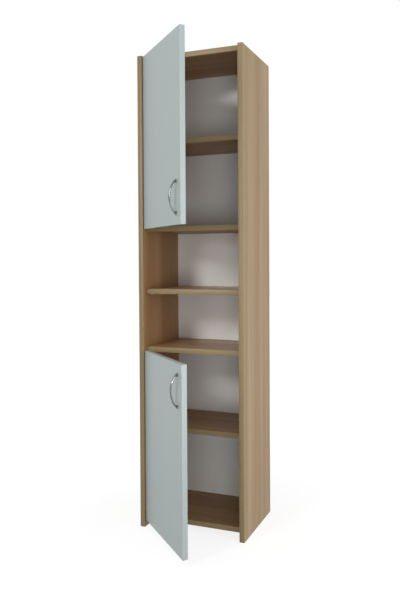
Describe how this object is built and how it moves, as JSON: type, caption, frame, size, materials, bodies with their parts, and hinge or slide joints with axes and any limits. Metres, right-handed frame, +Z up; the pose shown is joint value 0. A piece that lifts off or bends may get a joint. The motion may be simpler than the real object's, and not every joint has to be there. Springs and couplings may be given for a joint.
{
  "type": "tall bathroom cabinet",
  "caption": "Tall narrow bathroom cabinet: oak-look carcass with an open middle section, white hinged doors above and below it, and bow handles.",
  "frame": {"origin": "on the floor, under the middle of the whole part's width and depth with both doors ajar as stored; the carcass stands behind the origin's middle by half the doors' reach", "axes": "+Z up, the front faces -Y, +X to the viewer's right"},
  "size_m": [0.4, 0.5402, 1.7],
  "materials": {
    "oak_board": "laminated chipboard with a fine vertical oak grain, satin",
    "oak_edging": "edging strip with the same grain as the boards, satin",
    "white_board": "plain white laminated chipboard, satin",
    "white_edging": "white edging strip, satin",
    "white_hardboard": "thin hardboard with a white lacquered front, satin",
    "chrome_bar": "polished",
    "plated_steel": "nickel plated, satin",
    "zinc": "die-cast, matt",
    "beech": "plain turned wood"
  },
  "bodies": {
    "carcass": {"left_side": "oak_board", "right_side": "oak_board", "bottom_panel": "oak_board", "lower_fixed_shelf": "oak_board", "upper_fixed_shelf": "oak_board", "top_panel": "oak_board", "lower_shelf": "oak_board", "middle_shelf": "oak_board", "upper_shelf": "oak_board", "back_panel": "white_hardboard", "side_edge_strips": "oak_edging", "shelf_edge_strips": "oak_edging", "cam_locks": "zinc", "cam_bolts": "plated_steel", "dowels": "beech", "shelf_pins": "plated_steel", "back_panel_nails": "plated_steel", "hinge_plates": "plated_steel", "hinge_plate_screws": "plated_steel", "hinge_arms": "plated_steel", "hinge_arm_pins": "plated_steel", "hinge_arm_screws": "plated_steel"},
    "upper_door": {"upper_door": "white_board", "upper_door_edge_strips": "white_edging", "upper_hinge_cups": "plated_steel", "upper_hinge_cup_pins": "plated_steel", "upper_hinge_cup_screws": "plated_steel", "upper_handle": "chrome_bar", "upper_handle_screws": "plated_steel"},
    "upper_links": {"upper_hinge_links": "plated_steel"},
    "lower_door": {"lower_door": "white_board", "lower_door_edge_strips": "white_edging", "lower_hinge_cups": "plated_steel", "lower_hinge_cup_pins": "plated_steel", "lower_hinge_cup_screws": "plated_steel", "lower_handle": "chrome_bar", "lower_handle_screws": "plated_steel"},
    "lower_links": {"lower_hinge_links": "plated_steel"}
  },
  "joints": [
    {"name": "upper_door_hinge", "type": "hinge", "parent": "carcass", "child": "upper_door", "pos_m": [-0.1715, -0.02419, 1.3885], "axis": [0, 0, -1], "range_deg": [-43.5, 46.5]},
    {"name": "upper_link_turn", "type": "hinge", "parent": "upper_door", "child": "upper_links", "pos_m": [-0.16916, -0.02172, 1.3885], "axis": [0, 0, 1], "range_deg": [-47.5, 50.7]},
    {"name": "lower_door_hinge", "type": "hinge", "parent": "carcass", "child": "lower_door", "pos_m": [-0.1715, -0.02419, 0.3325], "axis": [0, 0, -1], "range_deg": [-43.5, 46.5]},
    {"name": "lower_link_turn", "type": "hinge", "parent": "lower_door", "child": "lower_links", "pos_m": [-0.16916, -0.02172, 0.3325], "axis": [0, 0, 1], "range_deg": [-47.5, 50.7]}
  ],
  "couplings": [
    {"joint": "upper_link_turn", "follows": "upper_door_hinge", "ratio": 1.09},
    {"joint": "lower_link_turn", "follows": "lower_door_hinge", "ratio": 1.09}
  ]
}
